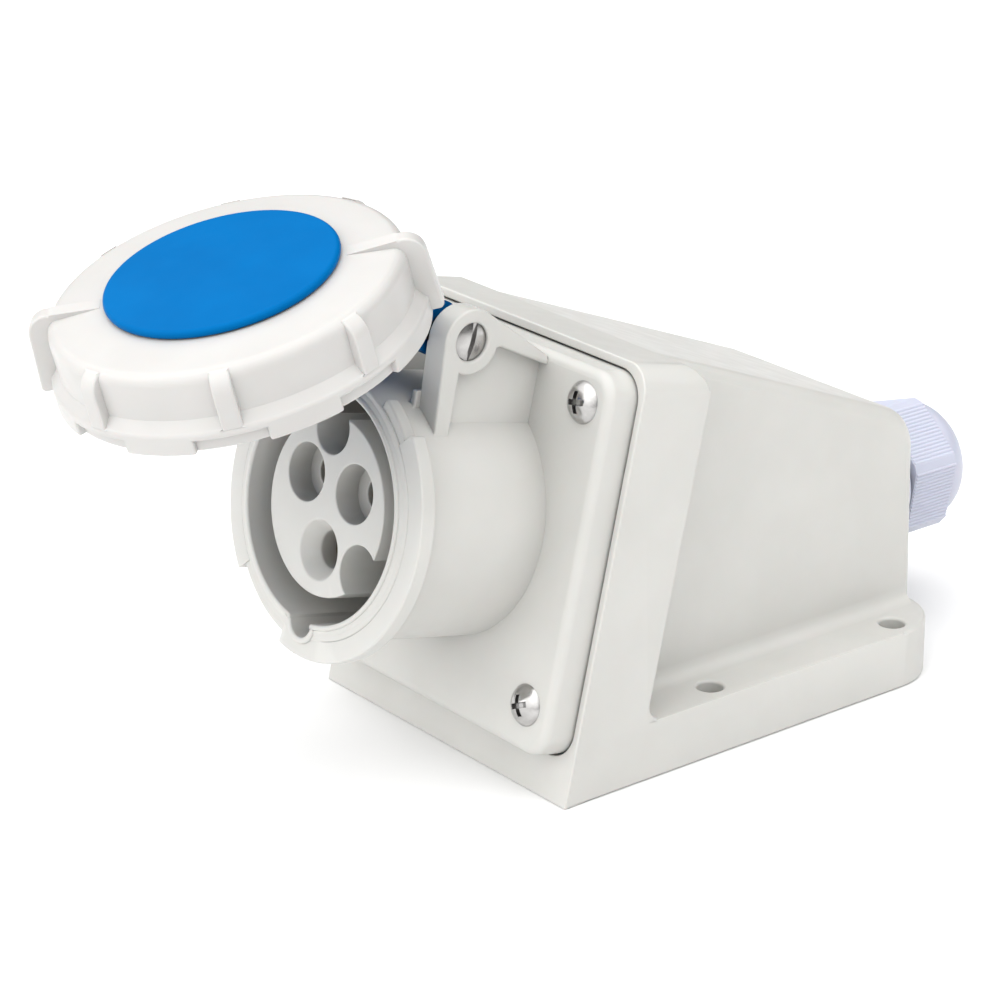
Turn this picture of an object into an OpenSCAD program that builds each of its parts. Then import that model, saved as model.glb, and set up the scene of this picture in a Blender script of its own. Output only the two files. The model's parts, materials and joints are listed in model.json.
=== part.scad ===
// Wall mounted pin and sleeve socket with a sloped wall box, a hinged lid with a bayonet ring
// and a cable gland. Millimetres, +Z out of the wall, origin at the centre of the mounting holes
// on the wall face, socket towards -Y, cable gland towards +Y.

/* [Wall box] */
// Width of the base
base_w = 100; // [90:1:120]
// Depth of the base from front edge to rear wall
base_d = 135; // [125:1:160]
// Height of the mounting ledges
base_h = 16; // [12:0.5:20]
// Radius of the rear corners of the base
base_corner_r = 18; // [10:1:24]
// Distance of the mounting holes from the base's sides
hole_side = 7; // [6:0.5:8]
// Distance of the rear mounting holes from the rear edge
hole_rear = 16.2; // [14:0.1:20]
// Spacing of the mounting holes along the box
hole_dy = 65; // [50:0.5:70]
// Diameter of the mounting holes
hole_d = 6.8; // [4:0.1:8]
// Lean of the front face back from upright
front_tilt = 13; // [8:0.5:18]
// Height of the front face along its slope
front_h = 113; // [112:0.5:125]
// Depth of the wide front collar
collar_depth = 22.5; // [18:0.5:30]
// Distance of the collar's sides inside the base's sides
collar_inset = 0.1; // [0.1:0.05:1]
// Radius of the upper corners of the front collar
collar_corner_r = 7; // [3:0.5:12]
// Width of the body behind the collar
body_w = 68; // [60:1:80]
// Fall of the body's top towards the rear
body_slope = 22; // [15:0.5:28]
// Distance behind the front face at which the fall begins
crease_depth = 16; // [10:0.5:18]
// Rounding of the body's upper rear corners
rear_round_r = 14; // [8:0.5:20]
// Rounding of the body's upright rear edges
rear_edge_r = 2; // [1.5:0.5:8]
// Rounding of the body's upper edges near the collar
top_edge_r = 4; // [4:0.5:8]
// Rounding of the collar's upper rear edge
collar_rear_r = 8; // [4:0.5:12]
// How far the base stands out behind the body
rear_step = 0.5; // [0.3:0.1:2]
// Radius of the cove between the body and the ledges
cove_r = 4; // [2:0.5:6]
// Wall thickness of the box
wall = 3.5; // [2.5:0.1:3.9]

/* [Socket plate] */
// Width of the plate
plate_w = 95; // [90:0.2:96]
// Height of the plate
plate_h = 98.2; // [95:0.2:99]
// Distance from the front bottom edge to the plate along the slope
plate_from = 12; // [10:0.2:13]
// Gap round the plate
plate_gap = 0.45; // [0.3:0.05:1]
// How far the plate stands out of the box
plate_raise = 8.6; // [6:0.2:12]
// Corner radius of the plate
plate_corner_r = 7; // [5:0.5:10]
// Rounding of the plate's front edge
plate_edge_r = 2.6; // [1:0.2:5]
// Depth of the seat for the plate below the rim
seat_depth = 4.5; // [3:0.5:6]
// Width of the seat on which the gasket lies
seat_w = 5; // [4:0.5:6]
// Thickness of the gasket under the plate
gasket_t = 1.5; // [1:0.1:2.5]
// Spacing of the plate screws across the plate
screw_dx = 76.6; // [70:0.2:80]
// Distance of the upper plate screws from the top edge
screw_top = 8.9; // [7:0.1:14]
// Distance of the lower plate screws from the bottom edge
screw_bottom = 12; // [8:0.2:16]
// Diameter of the plate screws
screw_d = 4.4; // [3:0.1:5]
// Diameter of the plate screw heads
screw_head_d = 10.8; // [8:0.2:11]
// Height of the plate screw heads
screw_head_h = 3; // [2:0.2:4]
// Diameter of the screw bosses in the box
boss_d = 9; // [8:0.5:11]

/* [Socket barrel] */
// Height of the socket axis above the front bottom edge along the slope
socket_v = 64.5; // [62:0.1:68]
// Radius of the bore that takes the plug sleeve
bore_r = 29.3; // [28:0.1:30]
// Outer radius of the barrel
barrel_r = 33.4; // [33:0.1:34]
// How far the barrel's lip stands out of the front face
lip_out = 53; // [50:0.5:56]
// Radius of the bayonet flange
flange_r = 38.7; // [38:0.1:39.2]
// Distance of the bayonet flange's front behind the lip
flange_back = 1.3; // [0.8:0.1:2]
// Thickness of the bayonet flange
flange_t = 4.2; // [3.5:0.1:5]
// Radius at the bayonet entries
entry_r = 35.8; // [35:0.1:36]
// Angle at which the right part of the bayonet flange ends
entry_upper = 42; // [38:1:44]
// Angle at which the lower bayonet entry begins
entry_lower = 221; // [218:1:224]
// Width of the lower bayonet entry in degrees
entry_sweep = 37; // [30:1:40]
// Angle above which the barrel is bare for the lid arm
bare_from = 62; // [58:1:64]
// Radius of the keyway at the bottom of the bore
keyway_r = 4.1; // [3:0.1:5]
// Wall round the keyway
keyway_wall = 1.6; // [1.2:0.1:2]
// Depth of the bore from the lip
bore_depth = 41; // [36:0.5:42]
// Thickness of the bore's floor
floor_t = 3.5; // [3:0.1:4]
// Length of the skirt behind the plate
skirt_len = 6; // [4:0.5:10]
// Wall of the skirt behind the plate
skirt_wall = 3.6; // [2.5:0.1:4]

/* [Contacts] */
// Radius of the contact carrier
carrier_r = 22.7; // [22:0.1:23]
// Distance of the carrier's face behind the lip
carrier_back = 2.4; // [1.5:0.1:4]
// Radius of the carrier's rear rim
carrier_rim_r = 27; // [26:0.1:28]
// Thickness of the carrier's rear rim
carrier_rim_t = 4.5; // [4:0.1:6]
// Gap round the carrier
carrier_gap = 0.25; // [0.1:0.05:0.4]
// Radius of the contact circle
contact_pcd_r = 11.4; // [11:0.1:12]
// Radius of the recess round each line pin
line_recess_r = 7.3; // [6.5:0.1:7.6]
// Depth of the recess round each line pin
line_recess = 7; // [5:0.5:9]
// Radius of the line pin hole
line_hole_r = 3.6; // [3.2:0.1:4]
// Radius of the bore for a line pin
line_bore_r = 3.05; // [2.9:0.01:3.1]
// Radius of the mouth of the earth pin's dish
earth_recess_r = 7.6; // [6.5:0.1:7.8]
// Depth of the earth pin's dish
earth_recess = 4.5; // [3:0.5:6]
// Radius of the earth pin hole
earth_hole_r = 4.7; // [4.3:0.1:5]
// Radius of the bore for the earth pin
earth_bore_r = 4.05; // [3.9:0.01:4.1]
// Wall of the contact sleeves
sleeve_wall = 1.1; // [0.8:0.05:1.2]
// Width of the slots in the contact sleeves
sleeve_slot = 0.9; // [0.5:0.1:1.2]
// Length of a contact's terminal end
terminal_len = 15; // [10:0.5:18]
// Radius of a contact's terminal end
terminal_r = 5.2; // [5:0.1:5.6]
// Radius of the wire hole in a terminal
wire_r = 2.8; // [2:0.1:3.2]
// Diameter of the terminal screws
terminal_screw_d = 4; // [3:0.1:4.5]
// Thickness of the contact retainer
retainer_t = 3; // [2:0.1:4]
// Diameter of the retainer screws
retainer_screw_d = 2.4; // [2:0.1:2.6]

/* [Hinge] */
// Distance of the hinge axis from the socket axis
hinge_r = 47.3; // [46.5:0.1:49]
// Distance of the hinge axis out of the front face
hinge_out = 33.4; // [33:0.1:35]
// Outer distance across the hinge ears
ear_span = 46.4; // [46:0.2:50]
// Thickness of an ear's web
ear_web_t = 4; // [3:0.2:5]
// Thickness of an ear's raised border
ear_border_t = 3; // [2.4:0.2:4]
// Radius of the ear's boss
ear_r = 8.2; // [7.5:0.1:8.6]
// Width of the ear's front leg
ear_leg_w = 6; // [4:0.5:8]
// Width of the ear's upper rail
ear_rail_w = 6; // [4:0.5:7]
// Diameter of the hinge pin
pin_d = 5; // [4:0.1:5.4]
// Diameter of the hinge pin's head
pin_head_d = 9.2; // [8:0.1:10]
// Height of the hinge pin's head
pin_head_h = 2; // [1.6:0.1:2.4]
// Radial running clearance of the lid on the pin
pin_run = 0.05; // [0.02:0.01:0.1]
// Side clearance of the lid between the ears
knuckle_gap = 0.3; // [0.2:0.05:0.6]
// Outer radius of the lid's knuckle
knuckle_r = 7; // [6.4:0.1:7.4]
// Wire diameter of the hinge spring
wire_d = 1.4; // [1:0.1:1.6]
// Turns of the hinge spring
spring_turns = 3; // [2:1:3]
// Opening angle of the lid as drawn
lid_open = 61; // [40:1:75]

/* [Lid] */
// Height of the disc's edge over the hinge axis, along the lid's own axis
lid_rise = 36.4; // [36:0.1:38]
// Radius of the cover disc
disc_r = 28.5; // [27:0.1:30]
// Thickness of the disc's edge
disc_edge_t = 2; // [1:0.1:2.4]
// Height of the disc's dome
disc_dome = 1.2; // [0.8:0.1:3]
// Radius of the cap
cap_r = 39.2; // [39:0.05:39.4]
// Wall of the cap
cap_wall = 2.8; // [2:0.1:3]
// Radius of the cap's boss through the ring
cap_boss_r = 24; // [20:0.5:25]
// Height of the cap's skirt over the lip when closed
cap_clear = 0.4; // [0.3:0.05:0.6]
// Thickness of the lid gasket
lid_gasket_t = 4.2; // [3:0.1:5]
// Width of the lid arm
arm_w = 28; // [24:0.5:28]
// Clearance between the lid parts that turn on each other
turn_gap = 0.35; // [0.3:0.05:0.45]

/* [Bayonet ring] */
// Outer radius of the ring's upper wall
ring_r = 43; // [42.6:0.1:44]
// Outer radius of the ring's lower band
band_r = 45.5; // [45:0.1:46.5]
// Height of the ring's lower band
band_h = 5.8; // [5:0.1:8]
// Height of the ring from its lower edge to the disc's edge
ring_h = 20.5; // [20:0.1:22]
// Thickness of the ring's top
ring_top_t = 3.2; // [2.5:0.1:3.6]
// Rounding of the ring's upper edge
ring_edge_r = 3; // [2:0.1:3.4]
// Angle of the wings as drawn, from +X towards the hinge
wing_angle = 52.5; // [50:0.5:56]
// Thickness of the wings
wing_t = 4.4; // [3:0.2:6]
// How far the wings stand out of the lower band at their foot
wing_out = 3.2; // [2:0.1:4]
// Number of ribs and wings round the ring
rib_count = 8; // [4:2:12]
// Width of the ribs
rib_w = 4.8; // [3:0.2:7]
// How far the ribs stand out of the upper wall
rib_out = 2.4; // [1:0.1:2.4]
// Width of the notches under the ribs in degrees
notch_sweep = 22; // [15:1:26]
// Shift of the notches from the ribs in degrees
notch_shift = -1.5; // [-4:0.5:4]
// Height of the notches
notch_h = 3.4; // [2:0.1:4]
// Depth of the notches
notch_depth = 1.7; // [1:0.1:2.5]
// Width of the bayonet lugs in degrees
lug_sweep = 15; // [10:1:15]
// Thickness of the bayonet lugs
lug_t = 1.8; // [1.6:0.1:2.4]
// Radial room of the lugs in the bayonet entries as the lid swings
lug_play = 1.3; // [1.2:0.1:1.6]

/* [Cable gland] */
// Height of the gland axis above the wall face
gland_z = 38; // [34:0.5:42]
// Distance across the flats of the gland body
gland_af = 31; // [30:0.5:32]
// Diameter of the collar between the gland's body and nut
gland_collar_d = 36; // [34:0.5:38]
// Distance across the flats of the gland nut
gland_nut_af = 35.4; // [32:0.2:36]
// Turn of the gland's hexagon
gland_turn = 19.5; // [0:0.5:59]
// Diameter of the gland's thread
gland_thread_d = 28; // [24:0.2:29]
// Thickness of the gland's washer
gland_washer_t = 1.6; // [1:0.1:2.5]
// Height of the gland body's hexagon and collar
gland_hex_h = 13.5; // [6:0.1:14]
// Thickness of the gland's collar
gland_collar_t = 4; // [2:0.5:5]
// Gap between the gland's body and nut
gland_nut_gap = 0.8; // [0.4:0.1:3]
// Height of the gland nut's hexagon
gland_nut_h = 15.5; // [10:0.5:18]
// Width of the strips at the gland nut's corners
gland_nut_strip = 2.3; // [1:0.1:4]
// Height of the gland nut's dome
gland_dome_h = 10.5; // [5:0.5:11]
// Diameter of the cable hole in the gland's seal
cable_d = 14; // [10:0.5:15]
// Thickness of the locknut
locknut_t = 5; // [3:0.5:7]

/* [Hidden] */
$fn = 96;
// Facets of the blended forms
blend_fn = 64;
// Overlap used where solids join or cut through
eps = 0.01;
// Free play of a screw in its hole
screw_play = 0.1;
// A length longer than the part
far = 3 * (base_d + front_h);
// Spacing of the mounting holes across the box
hole_dx = base_w - 2 * hole_side;
// Outer face of the rear wall and the front edge, from the centre of the mounting holes
rear_y = hole_rear + hole_dy / 2;
front_y = base_d - rear_y;
// Plate edges seen from the socket axis
plate_y0 = plate_from - socket_v;
plate_y1 = plate_y0 + plate_h;
plate_z0 = gasket_t - seat_depth;
// Plate screws seen from the socket axis
screw_spots = [for (x = [-1, 1], y = [plate_y0 + screw_bottom, plate_y1 - screw_top]) [x * screw_dx / 2, y]];
// Levels along the socket axis
flange_front = lip_out - flange_back;
flange_rear = flange_front - flange_t;
bore_floor = lip_out - bore_depth;
floor_rear = bore_floor - floor_t;
carrier_front = lip_out - carrier_back;
rim_rear = floor_rear - carrier_rim_t;
retainer_rear = rim_rear - retainer_t;
skirt_r = carrier_rim_r + carrier_gap + skirt_wall;
skirt_rear = plate_z0 - skirt_len;
keyway_y = -bore_r - 0.3;
// Levels of the closed lid along the socket axis
disc_level = hinge_out + lid_rise;
ring_bottom = disc_level - ring_h;
ring_top = disc_level - turn_gap;
ring_under = ring_top - ring_top_t;
ring_bore_r = cap_r + turn_gap + 0.15;
cap_top = ring_under - turn_gap;
cap_under = cap_top - cap_wall;
cap_bottom = lip_out + cap_clear;
gasket_top = cap_bottom + lid_gasket_t;
band_top = ring_bottom + band_h;
lug_top = flange_rear - turn_gap;
lug_bottom = lug_top - lug_t;
lug_r = entry_r + lug_play;
// Hinge widths
ear_out = ear_span / 2;
ear_in = ear_out - ear_web_t - ear_border_t;
knuckle_out = ear_in - knuckle_gap;
spring_pitch = wire_d + 0.15;
spring_room = spring_turns * spring_pitch + wire_d + 0.6;
spring_r = pin_d / 2 + wire_d / 2 + 0.6;
pocket_r = knuckle_r + 0.7;
pin_r = pin_d / 2;
pin_head_r = pin_head_d / 2;
// Colours
box_grey = [0.86, 0.86, 0.84];
ring_white = [0.93, 0.93, 0.92];
lid_blue = [0.0, 0.42, 0.8];
gland_tint = [0.84, 0.86, 0.93];
steel = [0.7, 0.7, 0.72];
brass = [0.78, 0.62, 0.3];
rubber = [0.12, 0.12, 0.13];

// Frames: the leaning front face, the socket axis, the lid about its hinge, the gland
module on_front() {
    translate([0, -front_y, 0]) rotate([90 - front_tilt, 0, 0]) children();
}
module on_socket() {
    on_front() translate([0, socket_v, 0]) children();
}
module on_hinge() {
    translate([0, hinge_r, hinge_out]) children();
}
module on_lid() {
    on_socket() on_hinge() rotate([-lid_open, 0, 0]) translate([0, -hinge_r, -hinge_out]) children();
}
module on_gland() {
    translate([0, rear_y - rear_step, gland_z]) rotate([-90, 0, 0]) children();
}
// Draws a side outline, given as [y, z], from x0 to x1
module side_extrude(x0, x1) {
    translate([x0, 0, 0]) rotate([90, 0, 90]) linear_extrude(x1 - x0) children();
}
module tube(r_out, r_in, z0, z1) {
    difference() {
        translate([0, 0, z0]) cylinder(r = r_out, h = z1 - z0);
        translate([0, 0, z0 - eps]) cylinder(r = r_in, h = z1 - z0 + 2 * eps);
    }
}
// Part of a ring between two angles
module ring_sector(r_in, r_out, z0, z1, a0, a1) {
    rotate([0, 0, a0]) rotate_extrude(angle = a1 - a0)
        translate([r_in, z0]) square([r_out - r_in, z1 - z0]);
}
module rounded_rect(x0, y0, x1, y1, r) {
    translate([x0 + r, y0]) square([x1 - x0 - 2 * r, y1 - y0]);
    translate([x0, y0 + r]) square([x1 - x0, y1 - y0 - 2 * r]);
    for (x = [x0 + r, x1 - r], y = [y0 + r, y1 - r]) translate([x, y]) circle(r);
}
module plate_outline(inset) {
    rounded_rect(-plate_w / 2 + inset, plate_y0 + inset, plate_w / 2 - inset, plate_y1 - inset,
                 max(plate_corner_r - inset, 1));
}
// Slab with the plate's outline and a rounded front edge
module rounded_plate() {
    r = plate_edge_r;
    x1 = plate_w / 2 - plate_corner_r;
    y0 = plate_y0 + plate_corner_r;
    y1 = plate_y1 - plate_corner_r;
    z1 = plate_raise - r;
    translate([0, 0, plate_z0]) linear_extrude(z1 - plate_z0) plate_outline(0);
    translate([0, 0, plate_z0]) linear_extrude(plate_raise - plate_z0) plate_outline(r);
    for (x = [-plate_w / 2 + r, plate_w / 2 - r])
        translate([x, y0, z1]) rotate([-90, 0, 0]) cylinder(r = r, h = y1 - y0);
    for (y = [plate_y0 + r, plate_y1 - r])
        translate([-x1, y, z1]) rotate([0, 90, 0]) cylinder(r = r, h = 2 * x1);
    for (x = [-x1, x1], y = [y0, y1])
        translate([x, y, z1]) rotate_extrude() translate([plate_corner_r - r, 0]) circle(r);
}
// Domed screw head on z = 0 with its top at h
module dome_head(r, h) {
    ball_r = (r * r + h * h) / (2 * h);
    intersection() {
        translate([0, 0, h - ball_r]) sphere(ball_r);
        cylinder(r = r, h = h);
    }
}
// Point where a line from p touches the circle of radius r round c, on the left of the line
function touch(p, c, r) = let (
    d = c - p,
    len = norm(d),
    a = atan2(d[1], d[0]) - asin(r / len))
    p + sqrt(len * len - r * r) * [cos(a), sin(a)];

// Height of the body's top plane over y, in the part's frame
crease = [-front_y + front_h * sin(front_tilt) + crease_depth * cos(front_tilt),
          front_h * cos(front_tilt) - crease_depth * sin(front_tilt)];
function top_z(y) = crease[1] - (y - crease[0]) * tan(body_slope);

module behind_front() {
    intersection() {
        on_front() translate([-far, -far, -2 * far]) cube([2 * far, far + front_h, 2 * far]);
        translate([-far, -far, 0]) cube(2 * far);
    }
}
module base_plan() {
    r = base_corner_r;
    translate([-base_w / 2, -front_y - r]) square([base_w, base_d]);
    translate([-base_w / 2 + r, -front_y]) square([base_w - 2 * r, base_d]);
    for (x = [-1, 1]) translate([x * (base_w / 2 - r), rear_y - r]) circle(r);
}
// Side outline of the front collar as [v, n], its upper rear edge rounded
module collar_profile() {
    fall = body_slope - front_tilt;
    r = collar_rear_r;
    n_c = r - collar_depth;
    v_c = front_h + ((n_c + crease_depth) * sin(fall) - r) / cos(fall);
    translate([v_c, n_c]) circle(r);
    polygon([[-front_h, r], [front_h, r], [front_h, -crease_depth],
             [v_c + r * cos(fall), n_c - r * sin(fall)], [v_c, n_c], [v_c, -collar_depth], [-front_h, -collar_depth]]);
}
module front_collar() {
    half = base_w / 2 - collar_inset;
    intersection() {
        on_front() translate([0, 0, -collar_depth]) linear_extrude(2 * collar_depth)
            rounded_rect(-half, -front_h, half, front_h, collar_corner_r);
        on_front() side_extrude(-base_w, base_w) collar_profile();
        translate([-far, -far, base_h / 2]) cube(2 * far);
    }
}
// Sloped body behind the collar, drawn smaller by inset for the hollow
module body_form(inset, fine) {
    half = body_w / 2 - inset;
    r_top = max(top_edge_r - inset, 0.5);
    r_foot = max(rear_edge_r - inset, 0.5);
    r_rear = rear_round_r - inset;
    r_side = min(r_top, r_rear / 2);
    y_in = crease[0] - collar_depth / 4;
    y_low = collar_depth / 2 - front_y;
    y_rear = rear_y - rear_step - inset;
    z_low = max(1, inset);
    drop = (inset + 0.15) / cos(body_slope);
    hull() {
        for (x = [-1, 1]) {
            translate([x * (half - r_top), y_in, top_z(y_in) - drop - r_top / cos(body_slope)])
                sphere(r_top, $fn = 16);
            translate([x * (half - r_side), y_rear - r_rear, top_z(y_rear - r_rear) - drop - r_rear / cos(body_slope)])
                rotate([0, 90, 0]) rotate_extrude($fn = fine) translate([r_rear - r_side, 0]) circle(r_side, $fn = 16);
            translate([x * (half - r_foot), y_rear - r_foot, z_low]) cylinder(r = r_foot, h = base_h, $fn = fine);
            translate([x * (half - r_foot), y_low, z_low]) cylinder(r = r_foot, h = base_h / 2, $fn = 16);
        }
    }
}
// Cove that leads the collar's rear face into the ledges
module collar_cove() {
    half = base_w / 2 - 2 * collar_inset;
    reach = cove_r / tan((90 - front_tilt) / 2);
    corner_v = (base_h + collar_depth * sin(front_tilt)) / cos(front_tilt);
    corner = [-front_y + corner_v * sin(front_tilt) + collar_depth * cos(front_tilt), base_h];
    side_extrude(-half, half) difference() {
        polygon([corner - [1, 1], corner + [reach, -1], corner + [reach, 0],
                 corner + reach * [sin(front_tilt), cos(front_tilt)],
                 corner + reach * [sin(front_tilt), cos(front_tilt)] - [1, 0]]);
        translate(corner + [reach, cove_r]) circle(cove_r);
    }
}
// Cove that leads the body's side into the ledge
module ledge_cove() {
    y0 = collar_depth / 2 - front_y;
    y1 = rear_y - rear_step - rear_edge_r;
    for (x = [0, 1]) mirror([x, 0, 0])
        translate([body_w / 2, y1, base_h]) rotate([90, 0, 0]) linear_extrude(y1 - y0) difference() {
            translate([-1, -1]) square(cove_r + 1);
            translate([cove_r, cove_r]) circle(cove_r);
        }
}
module wall_box() {
    color(box_grey) difference() {
        intersection() {
            union() {
                linear_extrude(base_h) base_plan();
                front_collar();
                body_form(0, blend_fn);
                ledge_cove();
                collar_cove();
            }
            behind_front();
        }
        box_hollow();
        for (x = [-1, 1], y = [-1, 1])
            translate([x * hole_dx / 2, y * hole_dy / 2, -eps]) cylinder(d = hole_d, h = base_h + 2 * eps);
        on_gland() translate([0, 0, -2 * wall]) cylinder(d = gland_thread_d + 2 * screw_play, h = 4 * wall);
        on_socket() for (s = screw_spots)
            translate([s[0], s[1], wall - collar_depth]) cylinder(d = screw_d + 2 * screw_play, h = collar_depth);
    }
}
// Seat for the plate, opening behind it and the hollow body, less the screw bosses
module box_hollow() {
    on_socket() {
        translate([0, 0, -seat_depth]) linear_extrude(seat_depth + eps) plate_outline(-plate_gap);
        difference() {
            translate([0, 0, wall - collar_depth]) linear_extrude(collar_depth - wall) plate_outline(seat_w);
            for (s = screw_spots)
                translate([s[0], s[1], -collar_depth]) cylinder(d = boss_d, h = collar_depth - seat_depth);
        }
    }
    difference() {
        intersection() {
            body_form(wall, blend_fn / 2);
            on_front() translate([-far, -far, -2 * far]) cube([2 * far, 2 * far, 2 * far - seat_depth - wall]);
        }
        on_socket() for (s = screw_spots)
            translate([s[0], s[1], -collar_depth]) cylinder(d = boss_d, h = collar_depth - seat_depth);
    }
}
module flange_gasket() {
    color(rubber) on_socket() difference() {
        translate([0, 0, -seat_depth]) linear_extrude(gasket_t) difference() {
            plate_outline(0);
            difference() {
                plate_outline(seat_w);
                for (s = screw_spots) translate(s) circle(d = boss_d);
            }
        }
        for (s = screw_spots)
            translate([s[0], s[1], -seat_depth - eps]) cylinder(d = screw_d + 2 * screw_play, h = gasket_t + 2 * eps);
    }
}
// Side outline of a hinge ear as [y, z]
module ear_outline() {
    foot = barrel_r / 2;
    rail_end = [plate_y1 - plate_edge_r / 2, plate_raise - eps];
    tip = touch(rail_end, [hinge_r, hinge_out], ear_r);
    translate([hinge_r, hinge_out]) circle(ear_r);
    polygon([[foot, plate_raise - eps], [foot, hinge_out + ear_r - 2], [hinge_r, hinge_out + ear_r],
             [hinge_r, hinge_out], tip, rail_end]);
}
// Opening of the ear's raised border, under the boss and the rail
module ear_window() {
    leg_z = hinge_out + ear_r - ear_leg_w;
    rail_y = plate_y1 - ear_rail_w;
    difference() {
        polygon([[0, 0], [0, leg_z], [hinge_r - ear_r / 2, leg_z], [hinge_r - 1, hinge_out - ear_r - 1], [rail_y, 0]]);
        translate([hinge_r, hinge_out]) circle(ear_r);
    }
}
module hinge_ear() {
    difference() {
        union() {
            side_extrude(ear_in, ear_in + ear_web_t) ear_outline();
            side_extrude(ear_in + ear_web_t - eps, ear_out) difference() {
                ear_outline();
                ear_window();
            }
        }
        on_hinge() rotate([0, 90, 0]) cylinder(r = pin_r + screw_play, h = far);
        on_hinge() translate([ear_out - pin_head_h, 0, 0]) rotate([0, 90, 0])
            cylinder(r = pin_head_r + 2 * screw_play, h = far);
    }
}
// Barrel with its lip, drawn as a section and turned about the socket axis
module barrel_section() {
    bead = 1.4;
    shoulder = lip_out - 0.8 * flange_back;
    polygon([[bore_r, floor_rear], [barrel_r, floor_rear], [barrel_r, shoulder],
             [barrel_r - bead, shoulder], [barrel_r - 1.5 * bead, lip_out - flange_back / 2],
             [bore_r + bead, lip_out - flange_back / 2], [bore_r + bead, lip_out], [bore_r, lip_out]]);
}
module bayonet_flange() {
    step = 0.3;
    ring_sector(barrel_r - 1.5, entry_r, flange_rear + step, flange_front - step, 180 - bare_from + step, 360 + bare_from);
    ring_sector(barrel_r - 1, flange_r, flange_rear, flange_front, entry_lower + entry_sweep, 360 + entry_upper);
    ring_sector(barrel_r - 1, flange_r, flange_rear, flange_front, 180 - bare_from, entry_lower);
}
module socket_housing() {
    color(box_grey) on_socket() difference() {
        union() {
            difference() {
                union() {
                    rounded_plate();
                    translate([0, 0, skirt_rear]) cylinder(r = skirt_r, h = floor_rear - skirt_rear);
                    translate([0, 0, floor_rear]) cylinder(r = barrel_r, h = floor_t);
                    translate([0, keyway_y, plate_raise / 2])
                        cylinder(r = keyway_r + keyway_wall, h = lip_out - plate_raise / 2 - 0.3 * flange_back);
                    bayonet_flange();
                    hinge_ear();
                    mirror([1, 0, 0]) hinge_ear();
                    spring_stop();
                }
                translate([0, 0, bore_floor]) cylinder(r = bore_r, h = lip_out);
            }
            rotate_extrude() barrel_section();
        }
        translate([0, keyway_y, bore_floor]) cylinder(r = keyway_r, h = lip_out);
        translate([0, 0, skirt_rear - eps])
            cylinder(r = carrier_rim_r + carrier_gap, h = floor_rear - skirt_rear + eps);
        translate([0, 0, skirt_rear]) cylinder(r = carrier_r + carrier_gap, h = lip_out);
        for (s = screw_spots)
            translate([s[0], s[1], plate_z0 - eps]) cylinder(d = screw_d + 2 * screw_play, h = plate_raise - plate_z0 + 2 * eps);
        retainer_holes() translate([0, 0, floor_rear - eps])
            cylinder(d = retainer_screw_d + 2 * screw_play, h = floor_t - 0.8);
    }
}
// Small stop beside the ear on which the spring's fixed leg lies
module spring_stop() {
    x0 = arm_w / 2 + knuckle_gap;
    translate([x0, barrel_r * 0.8, hinge_out + spring_r + wire_d / 2 + eps])
        cube([ear_in - x0 + eps, barrel_r * 0.2, hinge_out / 8]);
}
module cross_slot(len, width, depth) {
    for (a = [0, 90]) rotate([0, 0, a]) translate([-len / 2, -width / 2, -depth]) cube([len, width, 2 * depth]);
}
module flange_screws() {
    slot_w = screw_head_d / 8;
    turns = [25, 10];
    color(steel) on_socket() for (i = [0 : len(screw_spots) - 1]) translate(concat(screw_spots[i], plate_raise)) {
        difference() {
            dome_head(screw_head_d / 2, screw_head_h);
            translate([0, 0, screw_head_h]) rotate([0, 0, turns[i % 2]])
                cross_slot(screw_head_d / 2, slot_w, screw_head_h / 2);
        }
        translate([0, 0, -plate_raise - collar_depth + 2 * wall])
            cylinder(d = screw_d, h = plate_raise + collar_depth - 2 * wall + eps);
    }
}
// The three contacts: two line pins above, the earth pin below
line_angle = 30;
module at_contact(a) {
    translate([contact_pcd_r * cos(a), contact_pcd_r * sin(a), 0]) rotate([0, 0, a]) children();
}
module retainer_holes() {
    r = (carrier_r + carrier_rim_r) / 2;
    for (a = [90, 210, 330]) rotate([0, 0, a]) translate([r, 0, 0]) children();
}
module carrier_pocket(hole_r, sleeve_r) {
    translate([0, 0, rim_rear - eps]) cylinder(r = hole_r, h = lip_out);
    translate([0, 0, rim_rear - eps]) cylinder(r = sleeve_r + carrier_gap, h = sleeve_top(hole_r) - rim_rear);
    translate([0, 0, rim_rear - eps]) cylinder(r = shoulder_r + carrier_gap, h = carrier_rim_t);
}
// Contact sleeves end just behind the pin holes
function sleeve_top(hole_r) = carrier_front - line_recess - hole_r / 2;
shoulder_r = terminal_r + 0.9;
module contact_carrier() {
    notch_r = [6.4, 7];
    notch_at = [19, 20.5];
    notch_angle = [97.5, 322.5];
    color(box_grey) on_socket() difference() {
        union() {
            translate([0, 0, rim_rear]) cylinder(r = carrier_r, h = carrier_front - rim_rear);
            translate([0, 0, rim_rear]) cylinder(r = carrier_rim_r, h = carrier_rim_t);
        }
        for (a = [line_angle, 180 - line_angle]) at_contact(a) {
            translate([0, 0, carrier_front - line_recess]) cylinder(r = line_recess_r, h = lip_out);
            carrier_pocket(line_hole_r, line_bore_r + sleeve_wall);
        }
        at_contact(270) {
            translate([0, 0, carrier_front - earth_recess])
                cylinder(r1 = earth_hole_r, r2 = earth_recess_r, h = earth_recess + eps);
            carrier_pocket(earth_hole_r, earth_bore_r + sleeve_wall);
        }
        for (i = [0, 1]) rotate([0, 0, notch_angle[i]]) translate([notch_at[i], 0, bore_floor])
            cylinder(r = notch_r[i], h = lip_out);
        retainer_holes() translate([0, 0, rim_rear - eps])
            cylinder(d = retainer_screw_d + 2 * screw_play, h = carrier_rim_t + 2 * eps);
    }
}
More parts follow.
